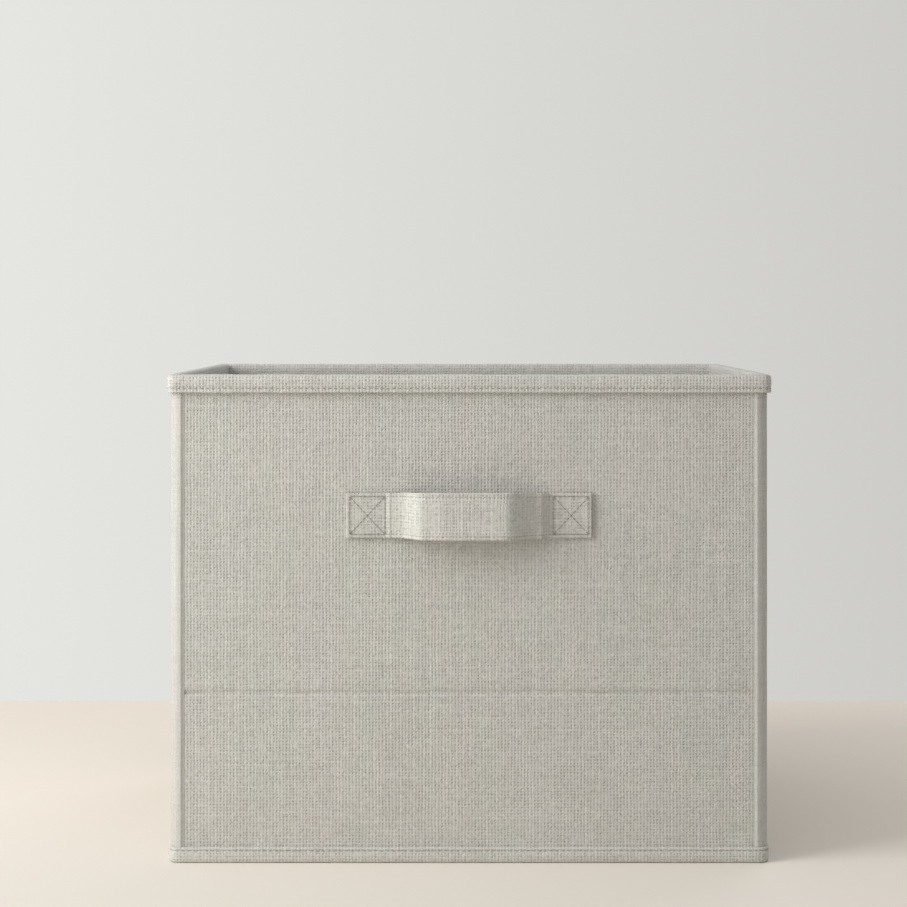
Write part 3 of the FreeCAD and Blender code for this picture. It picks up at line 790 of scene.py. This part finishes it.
def handle(wall):
    look = strapLook
    outward = walls[wall][0]
    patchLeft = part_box(f"{wall}_handle_patch_left")
    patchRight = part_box(f"{wall}_handle_patch_right")
    low, high = Vector(patchLeft[0]), Vector(patchRight[1])
    halfLength, width = (high.x - low.x) / 2, high.z - low.z
    faceY = low.y if wall == "front" else high.y
    thick = look["thick"]
    wallY = faceY - outward.y * thick
    middle = Vector((0, wallY, (low.z + high.z) / 2))
    toWall = Matrix.Translation(middle) @ wallMatrix(wall)
    path = strapPath(halfLength, look["lengthSteps"])

    def free(x):
        return smoothStep(0, 0.6, 1 - abs(x) / look["freeHalf"])

    def surface(step, across):
        # a point on the strap's face, and the way it looks
        x, out, _ = path[step]
        x0, out0, _ = path[max(step - 1, 0)]
        x1, out1, _ = path[min(step + 1, len(path) - 1)]
        looks = Vector((-(out1 - out0), 0, x1 - x0)).normalized()
        spot = Vector((x, across + look["spread"] * free(x) * (0.5 + across / width),
                       out + look["lean"] * free(x) * (0.5 - across / width)))
        return spot, looks

    bm = bmesh.new()
    bmesh.ops.create_grid(bm, x_segments=look["lengthSteps"], y_segments=look["widthSteps"], size=0.5)
    alongX = [x for x, _, _ in path]
    for vert in bm.verts:
        step = round((vert.co.x + 0.5) * look["lengthSteps"])
        across = vert.co.y * width
        spot, looks = surface(step, across)
        fromStitch = (width / 2 - abs(across) - look["edgeStitchIn"]) / (0.8 * mm)
        vert.co = spot - looks * look["grooveDepth"] * math.exp(-fromStitch * fromStitch)
    uvLayer = bm.loops.layers.uv.verify()
    bmesh.ops.solidify(bm, geom=bm.faces[:], thickness=thick * 0.92)
    bmesh.ops.recalc_face_normals(bm, faces=bm.faces[:])
    sharp = [e for e in bm.edges if len(e.link_faces) == 2 and e.calc_face_angle(0) > math.radians(55)]
    bmesh.ops.bevel(bm, geom=sharp, offset=look["edgeRound"], affect="EDGES", segments=3,
                    profile=0.5, material=-1)
    for face in bm.faces:
        for loop in face.loops:
            co = loop.vert.co
            step = min(bisect.bisect_left(alongX, co.x), look["lengthSteps"])
            loop[uvLayer].uv = (path[step][2], co.y)
    bmesh.ops.transform(bm, matrix=toWall, verts=bm.verts)
    strap = toPiece(f"{wall}_handle_strap", bm, strapCloth, 60)
    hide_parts(*[f"{wall}_handle_{part}" for part in
                         ("grip", "lead_left", "lead_right", "patch_left", "patch_right")])
    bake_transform(strap)

    # edge stitching along both sides of the strap
    stitch = look["stitch"]
    bm = bmesh.new()
    count = int(path[-1][2] / stitch["pitch"])
    for i in range(1, count):
        step = round(i / count * look["lengthSteps"])
        if abs(path[step][0]) > look["sewnFrom"]:
            continue
        _, looks = surface(step, 0)
        ahead, _ = surface(min(step + 1, look["lengthSteps"]), 0)
        behind, _ = surface(max(step - 1, 0), 0)
        direction = (ahead - behind).normalized()
        for side in (-1, 1):
            across = side * (width / 2 - look["edgeStitchIn"])
            centre, _ = surface(step, across)
            addStitch(bm, centre - looks * look["threadSunk"], direction, looks, stitch["length"],
                      stitch["thick"])
    bmesh.ops.transform(bm, matrix=toWall, verts=bm.verts)
    edging = toPiece(f"{wall}_handle_edge_stitching", bm, seamThread, 80)
    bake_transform(edging)

    # boxed cross on each sewn patch
    bm = bmesh.new()
    boxW, boxH = look["box"]["width"], look["box"]["height"]
    face = strapOut(halfLength) + 0.1 * mm
    for side in (-1, 1):
        centreX = side * (halfLength - look["box"]["margin"] - boxW / 2)
        corners = [Vector((centreX + a * boxW / 2, b * boxH / 2, face))
                   for a, b in ((-1, -1), (1, -1), (1, 1), (-1, 1))]
        lines = [(corners[k], corners[(k + 1) % 4]) for k in range(4)]
        lines += [(corners[0], corners[2]), (corners[1], corners[3])]
        for begin, end in lines:
            length = (end - begin).length
            direction = (end - begin) / length
            count = round(length / stitch["pitch"])
            for i in range(count):
                centre = begin + direction * (i + 0.5) * length / count
                addStitch(bm, centre, direction, zAxis, 0.92 * length / count, stitch["thick"])
    bmesh.ops.transform(bm, matrix=toWall, verts=bm.verts)
    place(toPiece(f"{wall}_handle_cross_stitching", bm, strapThread, 80), shell)


handle("front")
handle("rear")
bpy.data.meshes.remove(bead)     # only the pattern for the stitches
print("handles ready")


studioLook = {
    "tableX": 1.6, "tableFront": -1.4, "tableBack": 0.46,
    # table colours near and far: painted light, paler towards the back
    "tableNear": (0.74, 0.69, 0.62),
    "tableFar": (0.88, 0.80, 0.70),
    # backdrop colours at its two sides: painted shade, darker towards the right
    "backdropLeft": (0.79, 0.79, 0.76),
    "backdropRight": (0.60, 0.595, 0.57),
    "ambient": (0.455, 0.455, 0.455),
    # name, place, aim, size, power
    "lights": (
        ("window", (-1.35, -0.75, 0.72), (0, -0.05, 0.16), (1.0, 1.1), 24.5),
        ("sky", (-0.3, -0.8, 2.3), (0, 0, 0.1), (2.0, 2.0), 11),
        ("fill", (1.0, 1.7, 1.4), (0.2, 0.2, 0.1), (1.3, 1.3), 8),
    ),
    "lens": 91.35, "shiftX": -0.0172, "shiftY": -0.155,
    "cameraBack": 1.458,         # from the front of the rim
    "cameraUp": 0.039,           # above the top of the rim
}


def studio():
    look = studioLook
    bm = bmesh.new()
    bmesh.ops.create_grid(bm, x_segments=1, y_segments=1, size=1)
    for vert in bm.verts:
        vert.co.x *= look["tableX"]
        vert.co.y = look["tableBack"] if vert.co.y > 0 else look["tableFront"]
    material, tree, shader = newMaterial("table", 0.75, 0.0)
    # painted light: the table top a little paler towards the back
    coordinates = tree.nodes.new("ShaderNodeTexCoord")
    split = tree.nodes.new("ShaderNodeSeparateXYZ")
    tree.links.new(coordinates.outputs["Object"], split.inputs[0])
    away = calc(tree, "ADD", calc(tree, "MULTIPLY", split.outputs[1], 1.3), 0.3)
    paint = ramp(tree, away, ((0.0, look["tableNear"]), (0.9, look["tableFar"])))
    tree.links.new(paint, shader.inputs["Base Color"])
    table = toPiece("table", bm, material)

    # the camera sees the pale backdrop, the bin is lit by a dimmer room
    world = bpy.data.worlds.new("studio")
    world.use_nodes = True
    tree = world.node_tree
    room = tree.nodes["Background"]
    room.inputs["Color"].default_value = (*look["ambient"], 1)
    backdrop = tree.nodes.new("ShaderNodeBackground")
    direction = tree.nodes.new("ShaderNodeTexCoord")
    split = tree.nodes.new("ShaderNodeSeparateXYZ")
    tree.links.new(direction.outputs["Generated"], split.inputs[0])
    # painted shade: the backdrop darker from left to right
    sideways = calc(tree, "ADD", calc(tree, "MULTIPLY", split.outputs[0], 2.4), 0.5)
    shade = ramp(tree, sideways, ((0.0, look["backdropLeft"]), (1.0, look["backdropRight"])))
    tree.links.new(shade, backdrop.inputs["Color"])
    rays = tree.nodes.new("ShaderNodeLightPath")
    choice = tree.nodes.new("ShaderNodeMixShader")
    tree.links.new(rays.outputs["Is Camera Ray"], choice.inputs[0])
    tree.links.new(room.outputs[0], choice.inputs[1])
    tree.links.new(backdrop.outputs[0], choice.inputs[2])
    tree.links.new(choice.outputs[0], tree.nodes["World Output"].inputs["Surface"])
    bpy.context.scene.world = world

    for name, spot, aim, size, power in look["lights"]:
        light = bpy.data.lights.new(name, "AREA")
        light.shape = "RECTANGLE"
        light.size, light.size_y = size
        light.energy = power
        lamp = bpy.data.objects.new(name, light)
        lamp.location = spot
        lamp.rotation_euler = (Vector(aim) - Vector(spot)).to_track_quat("-Z", "Y").to_euler()
        bpy.context.scene.collection.objects.link(lamp)

    camera = bpy.data.cameras.new("camera")
    camera.sensor_width = 36
    camera.lens = look["lens"]
    camera.shift_x, camera.shift_y = look["shiftX"], look["shiftY"]
    viewer = bpy.data.objects.new("camera", camera)
    viewer.location = (0, rimLow.y - look["cameraBack"], rimHigh.z + look["cameraUp"])
    viewer.rotation_euler = (math.radians(90), 0, 0)
    bpy.context.scene.collection.objects.link(viewer)
    bpy.context.scene.camera = viewer
    bpy.context.scene.view_settings.view_transform = "Standard"


studio()
print("studio ready")
